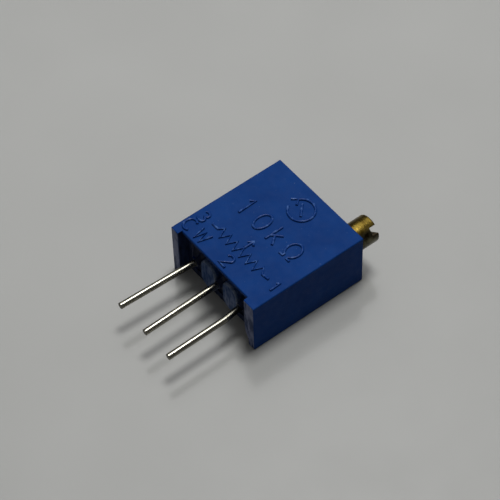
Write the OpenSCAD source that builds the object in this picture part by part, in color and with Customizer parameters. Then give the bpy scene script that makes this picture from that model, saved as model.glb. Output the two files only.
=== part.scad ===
// Multi-turn trimmer potentiometer, top adjusted, square moulded body.
// It lies on its back: +Z out of the marked face, the terminals towards -Y, the adjusting screw
// towards +Y. The origin is the centre of the back face. All sizes are in millimetres.

/* [Body] */
// Width of the housing, along the row of terminals
body_w = 9.53; // [7.9:0.01:12]
// Height of the housing, from its feet to the screw's end
body_h = 10.03; // [8.3:0.01:13]
// Thickness of the housing, from its back to the marked face
body_t = 4.83; // [4:0.01:6.5]
// Radius on the housing's outer edges
edge_r = 0.12; // [0.05:0.01:0.3]

/* [Walls] */
// Wall behind the marked face
face_wall = 0.55; // [0.45:0.01:0.8]
// The same wall where it runs on past the sealed floor
face_lip = 0.28; // [0.25:0.01:0.4]
// Wall at the back
back_wall = 0.6; // [0.3:0.01:0.7]
// Walls at the two sides
side_wall = 1.07; // [0.9:0.01:1.2]
// Wall at the screw's end
end_wall = 0.72; // [0.4:0.01:1]

/* [Terminal end] */
// Radius on the rims of the feet and of the marked wall
rim_r = 0.1; // [0.03:0.01:0.12]
// How far the feet stand below the marked wall
foot_h = 0.4; // [0.2:0.01:0.8]
// Thickness of the plain foot
foot_t = 0.8; // [0.5:0.01:1]
// Thickness of the screw side's foot where it is widest
screw_foot_t = 1.11; // [0.9:0.01:1.3]
// Thickness of the screw side's foot at the back, where it is narrowest
screw_foot_end = 0.7; // [0.5:0.01:0.8]
// Depth of the sealed floor below the feet
floor_depth = 0.965; // [0.7:0.005:1.3]
// Width of the two humps between the terminals
hump_w = 1.76; // [1:0.01:1.9]
// Distance of the humps' upper ends from the marked wall's inside
hump_top = 0.78; // [0.5:0.01:1]
// How far the humps stand out of the floor
hump_h = 0.43; // [0.2:0.01:0.55]
// Radius on the humps' rims
hump_rim = 0.18; // [0.05:0.01:0.2]
// How far the potting is drawn up round the terminals
draw_up = 0.16; // [0.05:0.01:0.25]

/* [Terminals] */
// Distance between neighbouring terminals
pin_pitch = 2.54; // [2.2:0.01:2.6]
// Diameter of the terminals
pin_d = 0.5; // [0.4:0.01:0.6]
// Length of the terminals beyond the feet
pin_length = 6.1; // [2:0.1:12]
// Distance of the terminals' axes from the marked face
pin_depth = 2.36; // [2.2:0.01:2.5]

/* [Adjusting screw] */
// Diameter of the screw's head and shank
screw_d = 2.2; // [1.8:0.01:2.25]
// Distance of the screw's axis from the nearer side
screw_side = 1.27; // [1.2:0.01:1.5]
// Distance of the screw's axis from the marked face
screw_depth = 1.28; // [1.25:0.01:1.4]
// Length of the head outside the housing
head_length = 1.65; // [1:0.01:4]
// Width of the driver slot
slot_w = 0.66; // [0.4:0.01:0.8]
// Depth of the driver slot
slot_depth = 0.58; // [0.4:0.01:0.9]
// Width that drivers have worn off each edge of the slot's mouth
slot_wear = 0.05; // [0.02:0.01:0.08]
// Direction of the driver slot at rest, in degrees from the back plane
slot_turn = 40; // [0:1:179]
// Diameter of the tail journal
tail_d = 0.9; // [0.7:0.01:1]
// Section of the O-ring
ring_section = 0.44; // [0.3:0.01:0.5]
// Thickness of the retaining fork
fork_t = 0.28; // [0.2:0.01:0.35]

/* [Gear train] */
// Teeth on the worm wheel, so turns of the screw for one of the wheel
wheel_teeth = 30; // [24:1:36]
// Turns of thread on the worm
worm_turns = 7; // [5:1:8]
// Outside diameter of the worm
worm_d = 2; // [1.7:0.01:2]
// Face width of the worm wheel
rim_t = 1.1; // [0.7:0.01:1.2]
// Diameter of the moulded post that the wheel turns on
post_d = 0.9; // [0.7:0.01:1]

/* [Element] */
// Thickness of the ceramic substrate
ceramic_t = 0.64; // [0.5:0.01:0.8]
// Thickness of the printed films
film_t = 0.02; // [0.01:0.005:0.03]
// Width of the resistive track
track_w = 0.65; // [0.4:0.01:0.7]
// Thickness of the wiper's sheet
wiper_t = 0.09; // [0.06:0.01:0.12]
// Wiper fingers on the track
track_fingers = 4; // [2:1:5]
// Travel of the wiper to each side of its middle, in degrees
wiper_travel = 150; // [120:1:150]

/* [Hidden] */
$fn = 48;
eps = 0.02;         // overlap of solids that are cut or joined
run_gap = 0.04;     // radial clearance of what turns
fit_gap = 0.05;     // clearance of what is slid in and sealed

half_w = body_w / 2;
half_h = body_h / 2;
foot_y = -half_h;
face_end_y = foot_y + foot_h;
floor_y = foot_y + floor_depth;
pin_tip_y = foot_y - pin_length;

// the cavity and what stands in it; a narrow body gives some wall up to the solder lands
land_w = 0.9;
cavity_x = max(half_w - side_wall, pin_pitch + land_w / 2 + 2 * fit_gap);
cavity_end_y = half_h - end_wall;
face_z = body_t - face_wall;
lip_z = body_t - face_lip;

// the screw side's foot swells round the screw's tail: its inner face is flat above swell_z,
// follows a circle below it and is flat again below swell_low
swell_x = half_w - screw_foot_t;
swell_r = 2.03;

// terminals, films and substrate, counted down from the marked face
pin_r = pin_d / 2;
pin_z = body_t - pin_depth;
film_z = pin_z - pin_r;
ceramic_z = film_z - film_t;
ledge_z = ceramic_z - ceramic_t;
ledge_w = 0.4;
root_y = floor_y - hump_h - 0.07;   // where the round wire ends and its flattened root begins
root_w = 1.12 * pin_d;
root_t = 0.8 * pin_d;
pin_end_y = floor_y + 1.3;

// sealing at the terminals' end
epoxy_y = floor_y + 0.12;
carrier_y = floor_y + 0.3;
carrier_plate = 0.15;
ceramic_y = carrier_y + carrier_plate;
carrier_end_y = ceramic_y + 0.3;
hump_z = back_wall + fit_gap + hump_w / 2;  // middle of the humps' round lower ends
hump_span = face_z - hump_top - hump_w / 2 - hump_z;  // from there to the middle of the upper ends

// adjusting screw, along Y
screw_x = half_w - screw_side;
screw_z = body_t - screw_depth;
screw_r = screw_d / 2;
bore_r = screw_r + run_gap;
swell_z = screw_z - 1.65;
swell_reach = swell_r - screw_foot_t + screw_foot_end;
swell_low = swell_z - sqrt(swell_r * swell_r - swell_reach * swell_reach);
head_y = half_h + head_length;
boss_length = 1.815;
boss_y = half_h - boss_length;      // inner face of the screw's boss
boss_rim = 0.22;                    // what holds the fork in, at the boss's inner face
fork_y = boss_y + boss_rim;
fork_slot = fork_t + 2 * run_gap;
fork_groove_r = 0.6 * screw_r;
fork_leg = 0.28;                    // width of the fork's legs
fork_half = fork_groove_r + fork_leg;
ring_inset = 0.62;
ring_y = half_h - ring_inset;       // middle of the O-ring
ring_r = ring_section / 2;
ring_groove = ring_section + 0.06;
ring_groove_r = bore_r - ring_section - 0.02;
boss_x = screw_x - screw_r - 0.2;
boss_z = film_z + fit_gap;

// gear train: the wheel takes the room that the worm leaves it
worm_r = worm_d / 2;
wheel_gap = 0.19;
room_across = (screw_x + cavity_x - wheel_gap - worm_r) / wheel_teeth;
room_along = (-carrier_end_y - fit_gap - 0.05) / (wheel_teeth / 2 + 1);
gear_module = min(room_across, room_along);
worm_pitch = PI * gear_module;
worm_half = worm_turns * worm_pitch / 2;
worm_pitch_r = worm_r - gear_module;
worm_root_r = worm_r - 2.25 * gear_module;
wheel_pitch_r = wheel_teeth * gear_module / 2;
wheel_r = wheel_pitch_r + gear_module;
wheel_root_r = wheel_pitch_r - 1.25 * gear_module;
wheel_x = screw_x - worm_pitch_r - wheel_pitch_r;
flank = tan(20);
worm_tooth = 0.4 * worm_pitch;      // thread thickness on the pitch line
wheel_tooth = 0.41 * worm_pitch;    // tooth thickness on the pitch line
collar_r = worm_r + 0.03;
channel_r = collar_r + 0.06;
collar_w = 0.25;
tail_y = -worm_half - collar_w - run_gap;   // inner face of the tail bearing
tail_r = tail_d / 2;
tail_length = 0.75;
tail_z = screw_z - tail_r - run_gap - 0.15;
tail_x = screw_x - tail_r - run_gap - 0.3;

// wheel and wiper
rim_z = screw_z - rim_t / 2;
web_t = 0.45;
rim_ring = 0.4;
hub_r = post_d / 2 + 0.5;
post_r = post_d / 2;
thrust_t = 0.06;
post_end_z = film_z + 0.12;
stud_r = 0.18;
stud_at = 1.25;
stud_head_r = 0.28;
stud_head_t = 0.1;

// printed tracks, round the wheel's axis
film_gap = 0.3;
track_outer_r = wheel_root_r - 0.25;
track_inner_r = track_outer_r - track_w;
track_r = (track_outer_r + track_inner_r) / 2;
collector_inner_r = post_r + 0.15;
collector_outer_r = min(1.15, track_inner_r - film_gap);
collector_r = (collector_inner_r + collector_outer_r) / 2;
track_end = wiper_travel + 4;       // half of the track's angle
pad_end = track_end + 8;
land_y = floor_y + 0.6;             // outer end of the solder lands
land_l = 0.95;
stem_w = 0.45;

// wiper fingers
contact_gap = 0.01;
finger_run = 1;
finger_pitch = (track_w - 0.08) / track_fingers;
wiper_z = rim_z - wiper_t;
window_y = collector_outer_r + 0.08;

// a prism along Y whose outline is drawn as (x, z)
module along_y(y0, y1) {
    translate([0, y1, 0]) rotate([90, 0, 0]) linear_extrude(y1 - y0) children();
}

// a round bar along Y on the screw's axis
module screw_bar(r, y0, y1) {
    translate([screw_x, y0, screw_z]) rotate([-90, 0, 0]) cylinder(r = r, h = y1 - y0);
}

// a rectangle from one corner to the other
module span(x0, y0, x1, y1) {
    translate([x0, y0]) square([x1 - x0, y1 - y0]);
}

// a rectangle with round corners
module round_rect(w, h, r) {
    span(-w / 2 + r, -h / 2, w / 2 - r, h / 2);
    span(-w / 2, -h / 2 + r, w / 2, h / 2 - r);
    for (x = [-1, 1], y = [-1, 1])
        translate([x * (w / 2 - r), y * (h / 2 - r)]) circle(r = r, $fn = 24);
}

// the housing's outside, each edge rounded
module body_block() {
    intersection() {
        linear_extrude(body_t) round_rect(body_w, body_h, edge_r);
        along_y(-half_h, half_h) translate([0, body_t / 2]) round_rect(body_w, body_t, edge_r);
        translate([-half_w, 0, 0]) rotate([90, 0, 90]) linear_extrude(body_w)
            translate([0, body_t / 2]) round_rect(body_h, body_t, edge_r);
    }
}

// what lies between the feet
module between_feet() {
    difference() {
        span(-half_w + foot_t, -1, half_w - screw_foot_end, body_t + 1);
        span(swell_x, swell_z, half_w, body_t + 2);
        translate([swell_x + swell_r, swell_z]) circle(r = swell_r);
    }
}

// what is cut off a square corner at the origin, with its solid towards +X and +Y, to round it
module round_off(r) {
    difference() {
        translate([-eps, -eps]) square(r + eps);
        translate([r, r]) circle(r = r, $fn = 24);
    }
}

// what rounds the feet's inner rims and the rim of the marked wall
module open_end_rims() {
    translate([-half_w + foot_t, foot_y, -1]) linear_extrude(body_t + 2) mirror([1, 0]) round_off(rim_r);
    translate([half_w - screw_foot_end, foot_y, -1]) linear_extrude(swell_low + 1) round_off(rim_r);
    translate([swell_x, foot_y, swell_z]) linear_extrude(body_t) round_off(rim_r);
    intersection() {
        translate([swell_x + swell_r, foot_y, swell_z]) rotate([-90, 0, 0]) rotate_extrude()
            translate([swell_r, 0]) mirror([1, 0]) round_off(rim_r);
        translate([swell_x - 1, foot_y - 1, swell_low]) cube([swell_r, 2, swell_z - swell_low]);
    }
    translate([-half_w + foot_t, face_end_y, body_t]) rotate([90, 0, 90])
        linear_extrude(swell_x + half_w - foot_t) mirror([0, 1]) round_off(rim_r);
}

// the cavity's section, drawn in by gap on every side
module cavity_section(gap = 0) {
    difference() {
        union() {
            span(-cavity_x + gap, ledge_z + gap, cavity_x - gap, face_z - gap);
            span(-cavity_x + ledge_w + gap, back_wall + gap, cavity_x - ledge_w - gap, ledge_z + 0.5);
        }
        children();
    }
}

// the block that carries the screw's tail, grown by gap
module tail_section(gap = 0) {
    span(tail_x - gap, tail_z - gap, half_w, body_t);
}

module cavity() {
    difference() {
        union() {
            along_y(floor_y - eps, tail_y) cavity_section() tail_section();
            along_y(tail_y - eps, cavity_end_y) cavity_section();
        }
        // the boss round the screw's head end
        translate([boss_x, boss_y, boss_z]) cube([half_w, half_h, body_t]);
    }
    screw_bar(channel_r, tail_y, boss_y + eps);
}

module housing() {
    color("royalblue") {
        difference() {
            body_block();
            // the marked wall ends short of the feet, and the back wall shorter still
            along_y(foot_y - 1, face_end_y) between_feet();
            along_y(foot_y - 1, floor_y) intersection() {
                between_feet();
                span(-half_w, -1, half_w, lip_z);
            }
            open_end_rims();
            cavity();
            screw_bar(bore_r, boss_y - eps, half_h + eps);
            screw_bar(tail_r + run_gap, tail_y - tail_length - run_gap, tail_y + eps);
            // slot in the boss for the retaining fork
            translate([boss_x - eps, fork_y, screw_z - fork_half - run_gap])
                cube([2 * screw_r, fork_slot, 2 * (fork_half + run_gap)]);
        }
        // post for the worm wheel
        translate([wheel_x, 0, post_end_z]) cylinder(r = post_r, h = face_z - post_end_z + eps);
        // thrust ring round the post
        translate([wheel_x, 0, face_z - thrust_t]) cylinder(r = hub_r, h = thrust_t + eps);
    }
}

// radius of the worm's thread at an angle: root, flank, crest, flank
function worm_at(a) =
    let (off = abs(a > 180 ? a - 360 : a) / 360 * worm_pitch)
    max(worm_root_r, min(worm_r, worm_pitch_r + (worm_tooth / 2 - off) / flank));

// a right-hand thread, one crest towards the wheel at y = 0
module worm_thread() {
    step = 22.5;
    start = 180 - 180 * worm_turns;
    translate([0, 0, -worm_half]) rotate([0, 0, start])
        linear_extrude(2 * worm_half, twist = -360 * worm_turns, slices = 14 * worm_turns,
            $fn = 360 / step)
        polygon([for (a = [0:step:359]) worm_at(a) * [cos(a), sin(a)]]);
}

module adjusting_screw() {
    groove0 = fork_y;
    groove1 = fork_y + fork_slot;
    ring0 = ring_y - ring_groove / 2;
    ring1 = ring_y + ring_groove / 2;
    tail_end = tail_y - tail_length;
    core_r = 0.8 * worm_root_r;
    bevel = 0.08;
    color("goldenrod") difference() {
        translate([screw_x, 0, screw_z]) rotate([-90, 0, 0]) {
            rotate_extrude() polygon([
                [0, tail_end], [tail_r - bevel, tail_end], [tail_r, tail_end + bevel],
                [tail_r, -worm_half - collar_w], [collar_r, -worm_half - collar_w],
                [collar_r, -worm_half + eps], [core_r, -worm_half + eps],
                [core_r, worm_half - eps], [collar_r, worm_half - eps],
                [collar_r, boss_y + 0.08], [screw_r, boss_y + 0.1],
                [screw_r, groove0], [fork_groove_r, groove0],
                [fork_groove_r, groove1], [screw_r, groove1],
                [screw_r, ring0], [ring_groove_r, ring0],
                [ring_groove_r, ring1], [screw_r, ring1],
                [screw_r, head_y - bevel], [screw_r - bevel, head_y], [0, head_y]]);
            worm_thread();
        }
        translate([screw_x, head_y, screw_z]) rotate([0, -slot_turn, 0]) driver_slot();
    }
}

// what the driver slot and its worn mouth take off the head, around the middle of its end
module driver_slot() {
    half = slot_w / 2;
    worn = half + slot_wear;
    translate([-1.5 * screw_r, 0, 0]) rotate([90, 0, 90]) linear_extrude(3 * screw_r)
        polygon([[-slot_depth, -half], [-slot_wear, -half], [0, -worn], [1, -worn],
            [1, worn], [0, worn], [-slot_wear, half], [-slot_depth, half]]);
}

module o_ring_seal() {
    color("darkslategray") translate([screw_x, ring_y, screw_z]) rotate([-90, 0, 0])
        rotate_extrude() translate([bore_r - 0.015 - ring_r, 0]) circle(r = ring_r, $fn = 24);
}

// a flat fork that straddles the screw's groove and bears on its slot in the boss
module screw_retaining_fork() {
    color("silver") along_y(fork_y + run_gap, fork_y + run_gap + fork_t) difference() {
        span(boss_x + 0.03, screw_z - fork_half, screw_x + fork_groove_r, screw_z + fork_half);
        translate([screw_x, screw_z]) circle(r = fork_groove_r + run_gap);
        span(screw_x, screw_z - fork_groove_r - run_gap, half_w, screw_z + fork_groove_r + run_gap);
    }
}

// one tooth of the wheel as points about its middle, root to root
function tooth_half(r) = (wheel_tooth / 2 - (r - wheel_pitch_r) * flank) / r * 180 / PI;
function polar(r, a) = [r * cos(a), r * sin(a)];

module wheel_outline() {
    polygon([for (i = [0:wheel_teeth - 1]) let (a = (i + 0.5) * 360 / wheel_teeth) each [
        polar(wheel_root_r, a - tooth_half(wheel_root_r)), polar(wheel_r, a - tooth_half(wheel_r)),
        polar(wheel_r, a + tooth_half(wheel_r)), polar(wheel_root_r, a + tooth_half(wheel_root_r))]]);
}

module at_studs() {
    for (side = [-1, 1]) translate([side * stud_at, 0]) children();
}

module worm_wheel() {
    hub_top = face_z - thrust_t - run_gap;
    color("ivory") translate([wheel_x, 0, 0]) {
        difference() {
            union() {
                translate([0, 0, rim_z]) linear_extrude(rim_t) wheel_outline();
                translate([0, 0, rim_z]) cylinder(r = hub_r, h = hub_top - rim_z);
            }
            // the web is recessed between the hub and the rim
            translate([0, 0, rim_z + web_t]) difference() {
                cylinder(r = wheel_root_r - rim_ring, h = rim_t);
                cylinder(r = hub_r, h = 4 * rim_t, center = true);
            }
            translate([0, 0, rim_z - eps]) cylinder(r = post_r + run_gap, h = 2 * body_t);
        }
        // studs, staked over the wiper
        translate([0, 0, wiper_z - stud_head_t]) at_studs() {
            cylinder(r = stud_r, h = wiper_t + stud_head_t + eps);
            cylinder(r1 = 0.75 * stud_head_r, r2 = stud_head_r, h = stud_head_t);
        }
    }
}

// side view of a finger as (x, z): from the sheet down to its contact, then a raised tip
module finger_side() {
    low = film_z + contact_gap;
    top = wiper_z;
    t = wiper_t;
    polygon([[-finger_run, top], [-finger_run + 0.05, top], [-0.12, low + 0.02], [0, low],
        [0.08, low], [0.3, low + 0.14], [0.3 - 0.5 * t, low + 0.14 + t], [0.06, low + t],
        [-0.06, low + t], [-finger_run + 0.1, top + t], [-finger_run, top + t]]);
}

module fingers(count, pitch) {
    for (i = [0:count - 1]) {
        y = (i - (count - 1) / 2) * pitch;
        along_y(y - 0.36 * pitch, y + 0.36 * pitch) finger_side();
    }
}

module wiper_contact() {
    collector_pitch = (collector_outer_r - collector_inner_r - 0.04) / 3;
    arm = track_w / 2 - 0.04;
    color("gold") translate([wheel_x, 0, 0]) {
        translate([0, 0, wiper_z]) linear_extrude(wiper_t) difference() {
            union() {
                // base under the wheel's web, and the arm that carries the track fingers
                span(-stud_at - 0.4, -window_y - 0.3, stud_at + 0.4, post_r + 0.45);
                span(-finger_run - 0.35, 0, -finger_run + eps, track_r + arm);
            }
            circle(r = post_r + 0.08);
            at_studs() circle(r = stud_r + 0.01);
            // window that the collector fingers are bent down from
            span(-0.5, -window_y, finger_run - eps, -collector_inner_r + 0.06);
        }
        translate([0, track_r, 0]) fingers(track_fingers, finger_pitch);
        rotate([0, 0, 180]) translate([0, collector_r, 0]) fingers(3, collector_pitch);
    }
}

module ceramic_substrate() {
    color("whitesmoke") translate([-cavity_x + fit_gap, ceramic_y, ledge_z])
        cube([2 * (cavity_x - fit_gap), cavity_end_y - fit_gap - ceramic_y, ceramic_t]);
}

// a printed film: an outline on the substrate, about the wheel's axis
module film() {
    translate([wheel_x, 0, ceramic_z]) linear_extrude(film_t) children();
}

// the part of a ring between two angles, clockwise from +Y
module arc_band(inner, outer, from, to) {
    steps = max(2, ceil((to - from) / 15));
    far = outer / cos(180 / 12);
    intersection() {
        difference() {
            circle(r = outer, $fn = 96);
            circle(r = inner, $fn = 96);
        }
        polygon(concat([[0, 0]], [for (i = [0:steps]) let (a = from + (to - from) * i / steps)
            far * [sin(a), cos(a)]]));
    }
}

module resistive_track() {
    color("dimgray") film() {
        arc_band(track_inner_r, track_outer_r, -track_end, 0);
        arc_band(track_inner_r, track_outer_r, 0, track_end);
    }
}

// conductor from one end of the track to its land; side is 1 for terminal 1 and -1 for terminal 3
module track_pad(side) {
    inner_x = side * (pin_pitch - land_w / 2) - wheel_x;
    outer_x = side * (pin_pitch + land_w / 2) - wheel_x;
    rim_r = track_outer_r - 0.05;
    outline = [rim_r * [side * sin(track_end + 1), cos(track_end + 1)],
        rim_r * [side * sin(pad_end - 1), cos(pad_end - 1)],
        [inner_x, land_y + 0.15], [inner_x, land_y], [outer_x, land_y],
        [outer_x, land_y + land_l], [inner_x, land_y + land_l]];
    color("silver") film() {
        if (side > 0)
            arc_band(track_inner_r, track_outer_r, track_end, pad_end);
        else
            arc_band(track_inner_r, track_outer_r, -pad_end, -track_end);
        polygon([for (i = [0:len(outline) - 1]) outline[side > 0 ? i : len(outline) - 1 - i]]);
    }
}

module collector_ring() {
    stem = land_y + land_l - 0.1;
    color("silver") film() {
        difference() {
            circle(r = collector_outer_r, $fn = 64);
            circle(r = collector_inner_r, $fn = 64);
        }
        span(-stem_w / 2, stem, stem_w / 2, -(collector_inner_r + collector_outer_r) / 2);
        span(-wheel_x - land_w / 2, land_y, -wheel_x + land_w / 2, land_y + land_l);
    }
}

// the flattened root of a terminal as (x, z), grown by gap
module root_section(x, gap = 0) {
    span(x - root_w / 2 - gap, film_z - gap, x + root_w / 2 + gap, film_z + root_t + gap);
}

// a round wire, flattened where it is soldered to the substrate
module terminal_pin(x) {
    bevel = 0.08;
    color("lightgray") {
        translate([x, 0, pin_z]) rotate([90, 0, 0]) {
            translate([0, 0, -root_y]) cylinder(r = pin_r, h = root_y - pin_tip_y - bevel);
            translate([0, 0, -pin_tip_y - bevel]) cylinder(r1 = pin_r, r2 = pin_r - bevel, h = bevel);
        }
        along_y(root_y, pin_end_y) root_section(x);
    }
}

// solder round a terminal's root, with hollow sides
module solder_joint(x) {
    solder_h = root_t + 0.07;
    foot = land_w / 2 - 0.03;
    neck = root_w / 2 + 0.04;
    side = [for (a = [0:22.5:90]) [foot - (foot - neck) * sin(a), solder_h * (1 - cos(a))]];
    last = len(side) - 1;
    color("silver") difference() {
        along_y(carrier_end_y + 0.02, pin_end_y + 0.12) translate([x, film_z])
            polygon([each side, for (i = [last:-1:0]) [-side[i][0], side[i][1]]]);
        along_y(carrier_end_y - 1, pin_end_y) root_section(x);
    }
}

function pin_at(n) = (2 - n) * pin_pitch;

// the humps' outlines as (x, z), both ends round
module hump_sections() {
    difference() {
        for (x = [-1, 1] * pin_pitch / 2) {
            span(x - hump_w / 2, hump_z, x + hump_w / 2, hump_z + hump_span);
            for (z = [0, hump_span]) translate([x, hump_z + z]) circle(r = hump_w / 2);
        }
        tail_section(fit_gap);
    }
}

// a hump with its rim rounded: straight in the middle, and turned at both ends
module hump() {
    length = hump_h + carrier_y + eps - floor_y;
    linear_extrude(hump_span) difference() {
        span(-hump_w / 2, -length, hump_w / 2, 0);
        translate([-hump_w / 2, -length]) round_off(hump_rim);
        translate([hump_w / 2, -length]) mirror([1, 0]) round_off(hump_rim);
    }
    for (z = [0, hump_span]) translate([0, 0, z]) rotate([90, 0, 0]) rotate_extrude() difference() {
        square([hump_w / 2, length]);
        translate([hump_w / 2, length]) rotate(180) round_off(hump_rim);
    }
}

module humps() {
    difference() {
        for (x = [-1, 1] * pin_pitch / 2) translate([x, carrier_y + eps, hump_z]) hump();
        along_y(foot_y, carrier_y + 1) tail_section(fit_gap);
    }
}

// moulded plug that holds the terminals apart and closes the housing
module terminal_carrier() {
    color("steelblue") difference() {
        union() {
            humps();
            along_y(carrier_y, ceramic_y - fit_gap) cavity_section(fit_gap) tail_section(fit_gap);
            // a lip above the substrate and a tongue below it
            along_y(carrier_y, carrier_end_y) intersection() {
                cavity_section(fit_gap) tail_section(fit_gap);
                union() {
                    span(-half_w, film_z + 0.03, half_w, face_z);
                    span(-half_w, 0, half_w, ledge_z - fit_gap);
                }
            }
        }
        for (n = [1:3]) along_y(floor_y - 1, carrier_end_y + 1) root_section(pin_at(n), 0.03);
    }
}

// potting round the humps and the terminals, and drawn up round each terminal
module epoxy_seal() {
    top_r = norm([root_w, root_t]) / 2 + 0.02;
    color("midnightblue") difference() {
        union() {
            along_y(epoxy_y, carrier_y) cavity_section() tail_section();
            for (n = [1:3]) translate([pin_at(n), epoxy_y + eps, film_z + root_t / 2])
                rotate([90, 0, 0]) cylinder(r1 = top_r + draw_up, r2 = top_r, h = draw_up + eps);
        }
        along_y(epoxy_y - 1, carrier_y + 1) {
            hump_sections();
            for (n = [1:3]) root_section(pin_at(n));
        }
    }
}

housing();
adjusting_screw();
o_ring_seal();
screw_retaining_fork();
worm_wheel();
wiper_contact();
ceramic_substrate();
resistive_track();
collector_ring();
track_pad(1);  // track_pad_1
track_pad(-1);  // track_pad_3
terminal_pin(pin_at(1));  // terminal_pin_1
terminal_pin(pin_at(2));  // terminal_pin_2
terminal_pin(pin_at(3));  // terminal_pin_3
solder_joint(pin_at(1));  // solder_joint_1
solder_joint(pin_at(2));  // solder_joint_2
solder_joint(pin_at(3));  // solder_joint_3
terminal_carrier();
epoxy_seal();
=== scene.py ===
from math import cos, pi, radians, sin

import bpy
from mathutils import Matrix, Vector


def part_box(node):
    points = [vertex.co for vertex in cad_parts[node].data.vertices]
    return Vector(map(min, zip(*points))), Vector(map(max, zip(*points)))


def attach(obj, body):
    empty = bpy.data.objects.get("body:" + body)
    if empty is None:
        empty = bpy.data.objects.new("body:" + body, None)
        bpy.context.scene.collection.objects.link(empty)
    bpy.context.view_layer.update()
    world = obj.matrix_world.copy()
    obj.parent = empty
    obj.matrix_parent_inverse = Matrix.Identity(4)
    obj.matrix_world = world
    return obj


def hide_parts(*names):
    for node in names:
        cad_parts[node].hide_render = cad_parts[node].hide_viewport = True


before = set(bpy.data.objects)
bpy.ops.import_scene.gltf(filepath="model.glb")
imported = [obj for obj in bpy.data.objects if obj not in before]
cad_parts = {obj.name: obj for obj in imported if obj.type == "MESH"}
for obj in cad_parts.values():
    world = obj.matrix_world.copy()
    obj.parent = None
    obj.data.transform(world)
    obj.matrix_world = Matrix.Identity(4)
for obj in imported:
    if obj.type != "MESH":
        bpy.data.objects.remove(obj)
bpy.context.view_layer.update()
bpy.ops.object.select_all(action="DESELECT")


# The element: a plate of fired alumina on two ledges inside the housing, with a printed and
# fired horseshoe of dark resistive ink, a silvery collector ring and a conductor land for
# each terminal. Nothing is added to their shapes; they get their own finishes.
mm = 0.001


def plain_finish(name, metallic=0.0, specular=0.5):
    """A new material, with its shader and the coordinates that its patterns lie in."""
    material = bpy.data.materials.new(name)
    material.use_nodes = True
    nodes = material.node_tree.nodes
    shader = nodes["Principled BSDF"]
    shader.inputs["Metallic"].default_value = metallic
    shader.inputs["Specular IOR Level"].default_value = specular
    place = nodes.new("ShaderNodeTexCoord")
    return material, shader, place.outputs["Object"]


def noise(place, size, detail=3.0, stretch=(1, 1, 1)):
    """Noise whose patches are about that size, longer where stretch is under 1."""
    tree = place.id_data
    scaled = tree.nodes.new("ShaderNodeMapping")
    scaled.inputs["Scale"].default_value = [along / size for along in stretch]
    tree.links.new(place, scaled.inputs["Vector"])
    texture = tree.nodes.new("ShaderNodeTexNoise")
    texture.inputs["Scale"].default_value = 1.0
    texture.inputs["Detail"].default_value = detail
    tree.links.new(scaled.outputs["Vector"], texture.inputs["Vector"])
    return texture.outputs["Fac"]


def spread(pattern, low, high, start=0.35, end=0.65):
    """Runs from low to high as the pattern rises from start to end."""
    node = pattern.id_data.nodes.new("ShaderNodeMapRange")
    ends = (("From Min", start), ("From Max", end), ("To Min", low), ("To Max", high))
    for socket, number in ends:
        node.inputs[socket].default_value = number
    pattern.id_data.links.new(pattern, node.inputs["Value"])
    return node.outputs["Result"]


def tint(pattern, first, second, start=0.35, end=0.65):
    """Runs from the first colour to the second as the pattern rises from start to end."""
    node = pattern.id_data.nodes.new("ShaderNodeValToRGB")
    for stop, position, colour in zip(node.color_ramp.elements, (start, end), (first, second)):
        stop.position = position
        stop.color = (*colour, 1)
    pattern.id_data.links.new(pattern, node.inputs["Fac"])
    return node.outputs["Color"]


def feed(shader, value, pattern):
    """Lets a pattern set one of the shader's values."""
    shader.id_data.links.new(pattern, shader.inputs[value])


def relief(shader, pattern, depth):
    """Bumps the surface by a pattern; further calls add to it."""
    tree = shader.id_data
    node = tree.nodes.new("ShaderNodeBump")
    node.inputs["Strength"].default_value = 1.0
    node.inputs["Distance"].default_value = depth
    tree.links.new(pattern, node.inputs["Height"])
    before = shader.inputs["Normal"].links
    if before:
        tree.links.new(before[0].from_socket, node.inputs["Normal"])
    tree.links.new(node.outputs["Normal"], shader.inputs["Normal"])


def wear_finish(name, first, second, patch, rough, grain, depth, metallic=0.0, specular=0.5):
    """A finish whose colour and roughness drift over patches, with a fine grain."""
    material, shader, place = plain_finish(name, metallic, specular)
    feed(shader, "Base Color", tint(noise(place, patch), first, second))
    feed(shader, "Roughness", spread(noise(place, patch / 4), *rough))
    relief(shader, noise(place, grain, detail=4.0), depth)
    return material, shader, place


def give(node, material):
    """Gives a CAD node its one material."""
    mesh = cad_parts[node].data
    mesh.materials.clear()
    mesh.materials.append(material)


alumina = wear_finish(
    "fired alumina", (0.80, 0.79, 0.75), (0.86, 0.86, 0.83),
    patch=0.8 * mm, rough=(0.45, 0.6), grain=0.03 * mm, depth=0.002 * mm)[0]
give("ceramic_substrate", alumina)
resistive_ink = wear_finish(
    "resistive ink", (0.012, 0.014, 0.013), (0.03, 0.032, 0.03),
    patch=0.3 * mm, rough=(0.35, 0.5), grain=0.02 * mm, depth=0.002 * mm)[0]
give("resistive_track", resistive_ink)
silver_ink = wear_finish(
    "fired silver ink", (0.62, 0.61, 0.57), (0.74, 0.73, 0.70),
    patch=0.3 * mm, rough=(0.3, 0.45), grain=0.02 * mm, depth=0.002 * mm, metallic=0.85)[0]
for node in ("collector_ring", "track_pad_1", "track_pad_3"):
    give(node, silver_ink)


# The terminals: three tinned copper wires, 0.5 mm thick, flattened at their roots where they
# are soldered to the element, and cropped at their free ends. One is drawn straight, and
# three copies of it are bent as handling has left them.
pitch = 2.54 * mm
wire_r = 0.25 * mm
wire_z = 2.47 * mm
wire_low, wire_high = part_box("terminal_pin_2")
cropped_y = wire_low.y
crop_rounding, crop_smear = 0.05 * mm, 0.1 * mm
root_start = -4.55 * mm


def only(obj):
    """Makes obj the one object that is selected, ready for its edit mode."""
    if bpy.context.object and bpy.context.object.mode != "OBJECT":
        bpy.ops.object.mode_set(mode="OBJECT")
    bpy.ops.object.select_all(action="DESELECT")
    obj.select_set(True)
    bpy.context.view_layer.objects.active = obj


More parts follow.
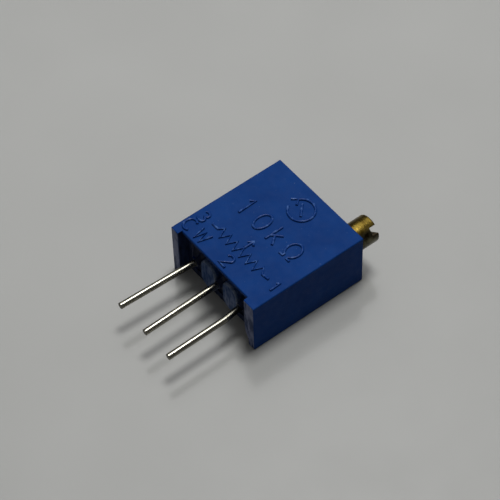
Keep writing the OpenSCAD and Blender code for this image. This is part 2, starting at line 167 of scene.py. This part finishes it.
def choose(obj, kind, test):
    """Selects, in edit mode, the vertices, edges or faces that pass the test."""
    only(obj)
    bpy.ops.object.mode_set(mode="EDIT")
    modes = {"vertices": "VERT", "edges": "EDGE", "polygons": "FACE"}
    bpy.ops.mesh.select_mode(type=modes[kind])
    bpy.ops.mesh.select_all(action="DESELECT")
    bpy.ops.object.mode_set(mode="OBJECT")
    mesh = obj.data
    for item in getattr(mesh, kind):
        if kind == "vertices":
            item.select = test(item.co)
        elif kind == "edges":
            item.select = all(test(mesh.vertices[v].co) for v in item.vertices)
        else:
            item.select = test(item.center, item.normal)
    bpy.ops.object.mode_set(mode="EDIT")


def coat(obj, number, test):
    """Gives the faces that pass the test the material of that number, counted from 0."""
    choose(obj, "polygons", test)
    obj.active_material_index = number
    bpy.ops.object.material_slot_assign()
    bpy.ops.object.mode_set(mode="OBJECT")


def extend(step):
    """Draws what is selected out by a step, with walls behind it."""
    bpy.ops.mesh.extrude_region_move(TRANSFORM_OT_translate={"value": step})


def another(obj):
    """A copy with a mesh of its own."""
    only(obj)
    bpy.ops.object.duplicate()
    return bpy.context.object


def settle(obj, name, body, angle=35):
    """Names a finished piece, smooths it, puts its place in its mesh and lets it ride."""
    only(obj)
    bpy.ops.object.transform_apply(location=True, rotation=True, scale=True)
    bpy.ops.object.shade_smooth_by_angle(angle=radians(angle))
    obj.name = obj.data.name = name
    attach(obj, body)


def near(a, b, tolerance=1e-6):
    """Whether two places along an axis are no further apart than the tolerance."""
    return abs(a - b) < tolerance


bpy.ops.mesh.primitive_cylinder_add(
    vertices=40, radius=wire_r, depth=root_start - cropped_y,
    location=(0, (root_start + cropped_y) / 2, wire_z), rotation=(pi / 2, 0, 0))
wire = bpy.context.object
bpy.ops.object.transform_apply(location=True, rotation=True, scale=True)
choose(wire, "edges", lambda point: near(point.y, cropped_y))
bpy.ops.mesh.bevel(offset=crop_rounding, segments=3, profile=0.6)
# the root is pressed flat in two steps
taper = 0.25 * mm
wider, thinner, lower = 1.1, 0.8, 0.05 * mm
choose(wire, "polygons", lambda centre, normal: normal.y > 0.9)
extend((0, taper, 0))
bpy.ops.transform.resize(value=(wider, 1, thinner), center_override=(0, 0, wire_z))
bpy.ops.transform.translate(value=(0, 0, -lower))
extend((0, wire_high.y - root_start - taper, 0))
bpy.ops.object.mode_set(mode="OBJECT")
# rings along the wire, at which it can bend
rings, ring_step, first_ring = 13, 0.15 * mm, -4.3 * mm
for ring in range(rings):
    choose(wire, "polygons", lambda centre, normal: True)
    bpy.ops.mesh.bisect(
        plane_co=(0, first_ring - ring * ring_step, 0), plane_no=(0, 1, 0), threshold=1e-8)
bpy.ops.object.mode_set(mode="OBJECT")


def bend(piece, start, angle):
    """Bends a wire in three small turns, from a ring on; to the +X side if positive."""
    reach = 0.49 * ring_step
    for ring in range(start, start + 3):
        y = first_ring - ring * ring_step
        around = [v.co for v in piece.data.vertices if near(v.co.y, y, reach)]
        middle = sum(around, Vector()) / len(around)
        choose(piece, "vertices", lambda point: point.y < y + reach)
        bpy.ops.transform.rotate(
            value=-radians(angle / 3), orient_axis="Z", center_override=middle)
        bpy.ops.object.mode_set(mode="OBJECT")


# handling has bent each a little where it leaves the plug, and back again further out
copies = []
for x, bends in (
        (pitch + 0.06 * mm, ((2, 8.5), (10, -8))),
        (0.02 * mm, ((0, -6), (3, 7.2))),
        (-pitch, ((0, -12), (3, 10)))):
    copy = another(wire)
    for start, angle in bends:
        bend(copy, start, angle)
    copy.location.x = x
    copies.append(copy)
bpy.data.objects.remove(wire)

tinned, shader, place = wear_finish(
    "tinned wire", (0.212, 0.203, 0.164), (0.262, 0.251, 0.208),
    patch=0.9 * mm, rough=(0.17, 0.25), grain=0.3 * mm, depth=0.00008 * mm, metallic=1.0)
drawing_lines = noise(place, 0.1 * mm, detail=2.0, stretch=(1, 0.05, 1))
relief(shader, drawing_lines, depth=0.00005 * mm)
cropped = wear_finish(
    "cropped wire end", (0.14, 0.13, 0.11), (0.24, 0.225, 0.20),
    patch=0.1 * mm, rough=(0.45, 0.6), grain=0.04 * mm, depth=0.003 * mm, metallic=1.0)[0]
for number, piece in zip((1, 2, 3), copies):
    piece.data.materials.append(tinned)
    piece.data.materials.append(cropped)
    coat(piece, 1, lambda centre, normal: normal.y < -0.3 and centre.y < cropped_y + crop_smear)
    settle(piece, f"terminal_{number}_wire", "body")
    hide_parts(f"terminal_pin_{number}")


# The solder that holds each flattened root to its land on the element: a bright joint with
# hollow sides, dulled a little by flux.
solder = wear_finish(
    "soft solder", (0.50, 0.50, 0.49), (0.66, 0.66, 0.65),
    patch=0.2 * mm, rough=(0.22, 0.42), grain=0.05 * mm, depth=0.003 * mm, metallic=1.0)[0]
for number in (1, 2, 3):
    give(f"solder_joint_{number}", solder)


# The wheel and its wiper: a moulded nylon worm wheel on the housing's post, with a stamped
# spring contact staked under it. The contact's fingers ride on the track and the collector.
nylon, shader, place = wear_finish(
    "natural nylon", (0.80, 0.78, 0.70), (0.88, 0.87, 0.81),
    patch=1.5 * mm, rough=(0.38, 0.52), grain=0.06 * mm, depth=0.003 * mm)
shader.inputs["Subsurface Weight"].default_value = 0.15
shader.inputs["Subsurface Scale"].default_value = 0.3 * mm
give("worm_wheel", nylon)
contact_alloy, shader, place = wear_finish(
    "contact alloy", (0.70, 0.52, 0.26), (0.82, 0.66, 0.38),
    patch=0.5 * mm, rough=(0.2, 0.32), grain=0.04 * mm, depth=0.0015 * mm, metallic=1.0)
rolling_lines = noise(place, 0.03 * mm, detail=2.0, stretch=(1, 0.05, 1))
relief(shader, rolling_lines, depth=0.001 * mm)
give("wiper_contact", contact_alloy)


# The plug: one moulding that keeps the terminals apart and closes the housing. Its two humps
# stand out between the wires and are smeared with the potting that was wiped off them.
floor_y = -4.05 * mm


def merged_copy(node, name):
    """A copy of a CAD node as one closed skin, its flat faces whole."""
    piece = bpy.data.objects.new(name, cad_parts[node].data.copy())
    bpy.context.scene.collection.objects.link(piece)
    only(piece)
    bpy.ops.object.mode_set(mode="EDIT")
    bpy.ops.mesh.select_all(action="SELECT")
    bpy.ops.mesh.remove_doubles(threshold=2e-7)
    bpy.ops.mesh.dissolve_limited(angle_limit=radians(0.3))
    bpy.ops.mesh.customdata_custom_splitnormals_clear()
    bpy.ops.object.mode_set(mode="OBJECT")
    piece.data.materials.clear()
    return piece


def lay_normals(piece):
    """Keeps flat faces flat beside their rounded edges."""
    only(piece)
    modifier = piece.modifiers.new("flat faces", "WEIGHTED_NORMAL")
    modifier.keep_sharp = True
    bpy.ops.object.modifier_apply(modifier=modifier.name)


def blend(share, first, second):
    """Goes from the first colour to the second, plain or patterned, as the share rises."""
    tree = share.id_data
    node = tree.nodes.new("ShaderNodeMix")
    node.data_type = "RGBA"
    tree.links.new(share, node.inputs["Factor"])
    for value, colour in (("A", first), ("B", second)):
        if isinstance(colour, tuple):
            node.inputs[value].default_value = (*colour, 1)
        else:
            tree.links.new(colour, node.inputs[value])
    return node.outputs["Result"]


plug = merged_copy("terminal_carrier", "plug")
smeared, shader, place = plain_finish("smeared plug moulding", specular=0.05)
streaks = noise(place, 0.3 * mm, detail=5.0, stretch=(1, 1, 0.35))
shaded_streaks = tint(streaks, (0.010, 0.041, 0.130), (0.085, 0.125, 0.238), 0.4, 0.62)
lit_film = tint(streaks, (0.060, 0.100, 0.200), (0.190, 0.225, 0.340), 0.4, 0.62)
# the humps are painted lighter towards their lower ends and towards +X: the darker tops are
# painted shade under the marked wall, laid over real streaks of film
height = place.id_data.nodes.new("ShaderNodeVectorMath")
height.operation = "DOT_PRODUCT"
place.id_data.links.new(place, height.inputs[0])
height.inputs[1].default_value = (-0.45, 0, 1)
lit_below_share = spread(height.outputs["Value"], 1.0, 0.0, 0.8 * mm, 2.4 * mm)
feed(shader, "Base Color", blend(lit_below_share, shaded_streaks, lit_film))
feed(shader, "Roughness", spread(noise(place, 0.2 * mm), 0.38, 0.6))
relief(shader, streaks, depth=0.02 * mm)
relief(shader, noise(place, 0.05 * mm), depth=0.005 * mm)
plug.data.materials.append(smeared)
# the humps' rims are painted lighter, a painted light that stands in for the light they catch
# under the lip, blotched like a film
film, shader, place = plain_finish("painted light on the humps' rims", specular=0.3)
blotches = noise(place, 0.3 * mm, detail=4.0)
feed(shader, "Base Color", tint(
    blotches, (0.040, 0.075, 0.150), (0.130, 0.165, 0.245), 0.38, 0.62))
feed(shader, "Roughness", spread(noise(place, 0.2 * mm), 0.35, 0.5))
relief(shader, noise(place, 0.1 * mm), depth=0.008 * mm)
plug.data.materials.append(film)
coat(plug, 1, lambda centre, normal: centre.y < floor_y and normal.y > -0.97)
settle(plug, "terminal_plug", "body")
lay_normals(plug)
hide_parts("terminal_carrier")


# The adjusting screw: turned brass, with a slotted head outside the housing and the worm
# inside it. Its outer part is drawn anew with a rounded rim and a slot that drivers have
# worn, and meets the worm inside the bore.
head_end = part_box("adjusting_screw")[1].y
axis_x, axis_z = 3.495 * mm, 3.55 * mm
head_r, head_rounding = 1.1 * mm, 0.1 * mm
join_y = 4.9 * mm
worm = merged_copy("adjusting_screw", "worm")
bpy.ops.object.mode_set(mode="EDIT")
bpy.ops.mesh.select_all(action="SELECT")
bpy.ops.mesh.bisect(
    plane_co=(0, join_y, 0), plane_no=(0, 1, 0), clear_outer=True, threshold=1e-8)
bpy.ops.object.mode_set(mode="OBJECT")

bpy.ops.mesh.primitive_cylinder_add(
    vertices=96, radius=head_r, depth=head_end - join_y,
    location=(axis_x, (head_end + join_y) / 2, axis_z), rotation=(-pi / 2, 0, 0))
head = bpy.context.object
bpy.ops.object.transform_apply(location=True, rotation=True, scale=True)
choose(head, "edges", lambda point: near(point.y, head_end))
bpy.ops.mesh.bevel(offset=head_rounding, segments=4, profile=0.5)
choose(head, "polygons", lambda centre, normal: normal.y < -0.9)
bpy.ops.mesh.delete(type="ONLY_FACE")
bpy.ops.object.mode_set(mode="OBJECT")

# the slot, with its mouth worn wider by drivers
slot_w, slot_depth, slot_turn, slot_wear = 0.66 * mm, 0.58 * mm, radians(40), 0.05 * mm
bpy.ops.mesh.primitive_cube_add(size=1, location=(axis_x, head_end, axis_z))
cutter = bpy.context.object
cutter.dimensions = (3 * head_r, 2 * slot_depth, slot_w)
bpy.ops.object.transform_apply(location=False, rotation=False, scale=True)
for y in (head_end - slot_wear, head_end):
    choose(cutter, "polygons", lambda centre, normal: True)
    bpy.ops.mesh.bisect(plane_co=(0, y, 0), plane_no=(0, 1, 0), threshold=1e-8)
choose(cutter, "vertices", lambda point: point.y > -slot_wear / 2)
bpy.ops.transform.resize(
    value=(1, 1, 1 + 2 * slot_wear / slot_w), center_override=(axis_x, head_end, axis_z))
bpy.ops.object.mode_set(mode="OBJECT")
cutter.rotation_euler.y = -slot_turn
bpy.ops.object.transform_apply(location=True, rotation=True, scale=True)
only(head)
cut = head.modifiers.new("slot", "BOOLEAN")
cut.object, cut.solver = cutter, "EXACT"
bpy.ops.object.modifier_apply(modifier=cut.name)
bpy.data.objects.remove(cutter)

brass, shader, place = plain_finish("turned brass", metallic=1.0)
tarnish = noise(place, 0.7 * mm, detail=4.0)
lit_brass = tint(tarnish, (0.105, 0.068, 0.012), (0.205, 0.143, 0.027), 0.36, 0.6)
shaded_brass = tint(tarnish, (0.020, 0.015, 0.007), (0.120, 0.108, 0.066), 0.4, 0.6)
# the side nearer the housing's corner is painted dark, a painted reflection of the shaded table
# beside it, with a short fade to the lit side
shaded_x, lit_x = axis_x + 0.78 * mm, axis_x + 0.5 * mm
across = place.id_data.nodes.new("ShaderNodeSeparateXYZ")
place.id_data.links.new(place, across.inputs["Vector"])
bright = spread(across.outputs["X"], 1.0, 0.0, lit_x, shaded_x)
feed(shader, "Base Color", blend(bright, shaded_brass, lit_brass))
feed(shader, "Roughness", spread(noise(place, 0.3 * mm), 0.22, 0.34))
turning_lines = noise(place, 0.05 * mm, detail=2.0, stretch=(0.02, 1, 0.02))
relief(shader, turning_lines, depth=0.003 * mm)
relief(shader, noise(place, 0.25 * mm), depth=0.014 * mm)
# dirt and oxide have settled in the slot and on its worn edges
grimy, shader, place = plain_finish("grimy brass", metallic=0.2, specular=0.25)
dirt = noise(place, 0.25 * mm, detail=4.0)
feed(shader, "Base Color", tint(
    dirt, (0.012, 0.008, 0.004), (0.090, 0.062, 0.022), 0.38, 0.62))
feed(shader, "Roughness", spread(noise(place, 0.1 * mm), 0.5, 0.7))
relief(shader, dirt, depth=0.015 * mm)


def in_slot(centre, normal):
    """Whether a face belongs to the slot or its worn edges, and not to the head's end."""
    slack = 1.02
    aside = abs(sin(slot_turn) * (centre.x - axis_x) - cos(slot_turn) * (centre.z - axis_z))
    below = head_end - centre.y
    return (
        below < slack * slot_depth
        and aside < slot_w / 2 + slack * slot_wear
        and (normal.y < 0.95 or below > 0.9 * slot_depth))


for piece, name in ((head, "screw_head"), (worm, "screw_worm")):
    piece.data.materials.clear()
    piece.data.materials.append(brass)
    piece.data.materials.append(grimy)
    coat(piece, 1, in_slot)
    settle(piece, name, "screw")
lay_normals(head)
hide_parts("adjusting_screw")


# The screw's seal and its keeper: a rubber ring in the groove under the head, and a flat
# spring-steel fork pushed through the boss into the screw's second groove.
rubber = wear_finish(
    "seal rubber", (0.010, 0.010, 0.010), (0.022, 0.022, 0.021),
    patch=0.5 * mm, rough=(0.45, 0.65), grain=0.03 * mm, depth=0.003 * mm)[0]
give("o_ring_seal", rubber)
steel, shader, place = wear_finish(
    "spring steel", (0.48, 0.48, 0.49), (0.60, 0.60, 0.61),
    patch=0.5 * mm, rough=(0.25, 0.38), grain=0.04 * mm, depth=0.001 * mm, metallic=1.0)
rolling_lines = noise(place, 0.03 * mm, detail=2.0, stretch=(1, 1, 0.05))
relief(shader, rolling_lines, depth=0.001 * mm)
give("screw_retaining_fork", steel)


# The housing: one moulding in blue thermosetting plastic, with a fine matt skin and slightly
# rounded outer edges. Its open end is rubbed where it was potted, and its recess is painted
# dark as shade.
top_z = 4.83 * mm
inner_wall_x, inner_floor_z, inner_end_y = 3.69 * mm, 0.6 * mm, 0.2 * mm
feet_y, recess_end_y = -4.7 * mm, -3.4 * mm
recess_x, recess_low_z, recess_high_z = 4.6 * mm, 0.05 * mm, 4.4 * mm
housing = merged_copy("housing", "housing_moulding")

moulding, shader, place = plain_finish("blue moulding", specular=0.07)
cloud = noise(place, 2 * mm, detail=4.0)
skin = tint(cloud, (0.0026, 0.030, 0.147), (0.0036, 0.0368, 0.171))
# a few specks of pale dust cling to the skin
dust = spread(noise(place, 0.16 * mm, detail=2.0), 0.0, 0.5, 0.72, 0.8)
feed(shader, "Base Color", blend(dust, skin, (0.14, 0.20, 0.33)))
feed(shader, "Roughness", spread(noise(place, 0.6 * mm), 0.55, 0.68))
relief(shader, noise(place, 0.14 * mm), depth=0.015 * mm)
relief(shader, noise(place, 0.05 * mm, detail=2.0), depth=0.007 * mm)
housing.data.materials.append(moulding)

# the ends at the terminals are rubbed grey where the spare potting was wiped off
rubbed, shader, place = plain_finish("rubbed blue moulding", specular=0.14)
wiped = noise(place, 0.35 * mm, detail=5.0, stretch=(1, 1, 0.3))
feed(shader, "Base Color", tint(
    wiped, (0.010, 0.030, 0.098), (0.145, 0.168, 0.28), 0.4, 0.58))
feed(shader, "Roughness", spread(noise(place, 0.3 * mm), 0.36, 0.52))
relief(shader, wiped, depth=0.012 * mm)
relief(shader, noise(place, 0.06 * mm), depth=0.004 * mm)
housing.data.materials.append(rubbed)

# and the recess between the feet, with the inner walls and floor behind it, is painted dark as
# painted shade
shaded, shader, place = plain_finish("stained recess", specular=0.25)
recess_mottle = noise(place, 0.4 * mm, detail=4.0, stretch=(1, 1, 0.3))
feed(shader, "Base Color", tint(
    recess_mottle, (0.0024, 0.009, 0.038), (0.017, 0.032, 0.090), 0.36, 0.64))
feed(shader, "Roughness", spread(noise(place, 0.2 * mm), 0.4, 0.55))
relief(shader, recess_mottle, depth=0.008 * mm)
housing.data.materials.append(shaded)


def on_inner_wall(centre, normal, side):
    """Whether a face is the long inner wall on that side, facing the cavity."""
    there = near(side * centre.x, inner_wall_x, 0.05 * mm) and centre.y < inner_end_y
    return there and side * normal.x < -0.7


def on_inner_floor(centre, normal):
    """Whether a face is the cavity's floor beside the potting."""
    there = near(centre.z, inner_floor_z, 0.05 * mm) and centre.y < inner_end_y
    return there and normal.z > 0.7 and abs(centre.x) < inner_wall_x


def in_recess(centre, normal):
    """Whether a face lies in the recess between the feet, or is a wall behind it."""
    within = abs(centre.x) < recess_x and centre.z < recess_high_z
    between_feet = feet_y < centre.y < recess_end_y and centre.z > recess_low_z
    wall_behind = abs(normal.x) > 0.7 and centre.y < recess_end_y
    return within and (between_feet or wall_behind)


coat(housing, 1, lambda centre, normal: (normal.y < -0.8 and centre.y < feet_y)
     or on_inner_wall(centre, normal, -1))
coat(housing, 2, in_recess)
# the +X inner wall and the cavity floor get the same painted shade
coat(housing, 2, lambda centre, normal: on_inner_wall(centre, normal, 1)
     or on_inner_floor(centre, normal))
settle(housing, "housing_moulding", "body")
lay_normals(housing)
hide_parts("housing")


# The potting: epoxy poured between the plug and the housing, dark and glossy, drawn up a
# little where it meets them.
potting = wear_finish(
    "potting epoxy", (0.004, 0.009, 0.030), (0.009, 0.018, 0.055),
    patch=0.6 * mm, rough=(0.36, 0.5), grain=0.4 * mm, depth=0.004 * mm, specular=0.3)[0]
give("epoxy_seal", potting)
# it climbs each terminal's root in a collar with hollow sides, drawn once and copied
pool_y = -3.9 * mm
collar_r, collar_start = 0.52 * mm, 0.05 * mm
bpy.ops.mesh.primitive_cylinder_add(
    vertices=40, radius=collar_r, depth=collar_start, location=(0, pool_y, wire_z),
    rotation=(pi / 2, 0, 0))
collar = bpy.context.object
bpy.ops.object.transform_apply(location=True, rotation=True, scale=True)
choose(collar, "polygons", lambda centre, normal: normal.y < -0.9)
climbs = (0.08 * mm, 0.1 * mm, 0.14 * mm, 0.22 * mm, 0.14 * mm)
narrowings = (0.84, 0.86, 0.89, 0.95, 0.94)
for climb, narrowing in zip(climbs, narrowings):
    extend((0, -climb, 0))
    bpy.ops.transform.resize(
        value=(narrowing, 1, narrowing), center_override=(0, pool_y, wire_z))
bpy.ops.object.mode_set(mode="OBJECT")
collars = [collar]
for side in (-1, 1):
    collars.append(another(collar))
    collars[-1].location.x = side * pitch
for number, piece in zip((2, 3, 1), collars):
    piece.data.materials.append(potting)
    settle(piece, f"potting_collar_{number}", "body", 60)


# The marks: the terminals' numerals, two letters, a resistor sign, the value and a turning
# sign. They are moulded with the housing and stand out of its face as low rounded ridges.
ridge_w, ridge_h, ridge_side = 0.2 * mm, 0.135 * mm, 0.065 * mm


def ridge(points, closed=False):
    """A ridge that follows the points, which are millimetres across the marked face."""
    start = points[0]
    bpy.ops.mesh.primitive_plane_add(size=mm, location=(start[0] * mm, start[1] * mm, 0))
    stroke = bpy.context.object
    bpy.ops.object.transform_apply(location=True)
    bpy.ops.object.mode_set(mode="EDIT")
    bpy.ops.mesh.select_mode(type="VERT")
    bpy.ops.mesh.merge(type="CENTER")
    for before, after in zip(points, points[1:]):
        extend(((after[0] - before[0]) * mm, (after[1] - before[1]) * mm, 0))
    if closed:
        bpy.ops.mesh.select_all(action="SELECT")
        bpy.ops.mesh.remove_doubles(threshold=1e-7)
    bpy.ops.object.mode_set(mode="OBJECT")
    bpy.ops.object.convert(target="CURVE")
    line = stroke.data
    line.dimensions = "3D"
    line.bevel_depth, line.bevel_resolution = ridge_w / 2, 4
    line.use_fill_caps = not closed
    bpy.ops.object.convert(target="MESH")
    return bpy.context.object


def arc(x, y, rx, ry, first, last, steps=14):
    """Points round a centre, from the first angle to the last, in degrees."""
    angles = [radians(first + (last - first) * i / steps) for i in range(steps + 1)]
    return [(x + rx * cos(a), y + ry * sin(a)) for a in angles]


def three(x, y, h):
    """The numeral 3 round a place, h high."""
    r = h / 4
    return [arc(x, y + r, 1.15 * r, r, 150, -90) + arc(x, y - r, 1.3 * r, r, 90, -150)[1:]]


def two(x, y, h):
    """The numeral 2."""
    r = 0.27 * h
    foot = [(x - 1.2 * r, y - h / 2), (x + 1.3 * r, y - h / 2)]
    return [arc(x, y + h / 2 - r, 1.15 * r, r, 165, -35) + foot]


def one(x, y, h):
    """The numeral 1."""
    return [[(x - 0.2 * h, y + 0.3 * h), (x, y + h / 2), (x, y - h / 2)]]


# the terminals' numerals, and C and W for clockwise
strokes = three(-3.99, -2.60, 0.95) + two(0.235, -3.75, 1.05) + one(4.19, -2.59, 0.9)
strokes += [arc(-4.05, -3.80, 0.45, 0.55, 48, 312)]
strokes += [[(-3.16, -3.25), (-2.92, -4.34), (-2.66, -3.4), (-2.40, -4.34), (-2.14, -3.25)]]
# the resistor sign, with the wiper's arrow
zigzag = [(-3.08, -2.52), (-2.45, -2.52)]
for i in range(7):
    zigzag += [(-2.13 + 0.745 * i, -2.13), (-1.75 + 0.75 * i, -2.93)]
zigzag = zigzag[:-1] + [(2.75, -2.6), (3.37, -2.52)]
strokes += [zigzag, [(0.07, -2.1), (0.10, -1.3)], [(-0.17, -1.6), (0.10, -1.25), (0.37, -1.52)]]
# the value, one glyph to each place
strokes += one(-2.72, 0.36, 1.6) + [arc(-0.95, 0.36, 0.5, 0.8, 90, 450, 24)]
strokes += [[(0.35, 1.16), (0.35, -0.44)], [(1.05, 0.7), (0.37, 0.05)]]
strokes += [[(0.6, 0.27), (1.12, -0.44)]]
bow = arc(2.51, 0.42, 0.56, 0.72, 248, -68, 20)
strokes += [[(1.95, -0.42), (2.3, -0.42)] + bow + [(2.72, -0.42), (3.07, -0.42)]]
# the turning sign
strokes += [arc(-0.01, 3.18, 1.02, 1.02, 150, -150, 30)]
strokes += [[(-0.42, 3.18 + 0.42), (0.42, 3.18 - 0.42)]]
strokes += [[(-1.3, 3.25), (-0.93, 3.66), (-0.6, 3.2)]]

ridges = []
for points in strokes:
    closed = all(near(a, b) for a, b in zip(points[0], points[-1]))
    ridges.append(ridge(points, closed))
only(ridges[0])
for piece in ridges:
    piece.select_set(True)
bpy.ops.object.join()
marks = bpy.context.object
marks.scale.z = (ridge_h - ridge_side) / (ridge_w / 2)
marks.location.z = top_z + ridge_side
bpy.ops.object.transform_apply(location=True, rotation=True, scale=True)
# their tops are rubbed smooth and shine more than the skin round them, and the pale patches in
# their colour are painted glints
rubbed_top_and_glints, shader, place = plain_finish("smooth blue moulding with painted glints", specular=0.11)
worn = noise(place, 0.35 * mm)
feed(shader, "Base Color", tint(
    worn, (0.0022, 0.030, 0.155), (0.050, 0.120, 0.330), 0.5, 0.72))
feed(shader, "Roughness", spread(worn, 0.34, 0.2))
relief(shader, noise(place, 0.2 * mm), depth=0.003 * mm)
marks.data.materials.append(rubbed_top_and_glints)
settle(marks, "raised_marks", "body", 60)


# The table and the studio: a pale grey table with a slight sheen, a soft lamp nearly
# overhead, a wide dim window that the table mirrors, and a camera that looks down on the
# marked face from the terminals' side.
bpy.ops.mesh.primitive_plane_add(size=4, location=(0, 0, 0))
table = bpy.context.object
table.name = "table"
table_top = wear_finish(
    "grey table", (0.323, 0.325, 0.311), (0.337, 0.339, 0.325),
    patch=10 * mm, rough=(0.16, 0.2), grain=2 * mm, depth=0.0005 * mm)[0]
table.data.materials.append(table_top)


def lamp(name, size, power, towards, distance):
    """A soft square lamp that hangs at a distance in a direction and faces the part."""
    direction = Vector(towards).normalized()
    bpy.ops.object.light_add(type="AREA", location=direction * distance)
    light = bpy.context.object
    light.name = name
    light.rotation_mode = "QUATERNION"
    light.rotation_quaternion = direction.to_track_quat("Z", "Y")
    light.data.size, light.data.energy = size, power


lamp("high lamp", size=0.11, power=1.13, towards=(-0.08, 0.187, 0.98), distance=0.4)
lamp("window", size=0.19, power=0.205, towards=(-0.492, 0.364, 0.791), distance=0.4)

# the room is lightest overhead and darkest at the height of the table
world = bpy.data.worlds.new("studio")
bpy.context.scene.world = world
world.use_nodes = True
room = world.node_tree
around = room.nodes.new("ShaderNodeTexCoord")
upward = room.nodes.new("ShaderNodeSeparateXYZ")
room.links.new(around.outputs["Generated"], upward.inputs["Vector"])
walls = tint(upward.outputs["Z"], (0.052, 0.052, 0.055), (0.24, 0.24, 0.244), 0.1, 0.95)
room.links.new(walls, room.nodes["Background"].inputs["Color"])

bpy.ops.object.camera_add()
camera = bpy.context.object
across = Vector((0.61735, 0.78638, -0.02190))
down = Vector((0.61381, -0.49891, -0.61183))
ahead = Vector((-0.49206, 0.36427, -0.79069))
stand = Vector((79.412, -60.346, 131.680)) * mm
turned = Matrix((across, -down, -ahead)).transposed().to_4x4()
camera.matrix_world = Matrix.Translation(stand) @ turned
camera.data.sensor_width, camera.data.lens = 36, 162.82
camera.data.clip_start = 5 * mm
bpy.context.scene.camera = camera
bpy.context.scene.view_settings.view_transform = "Standard"
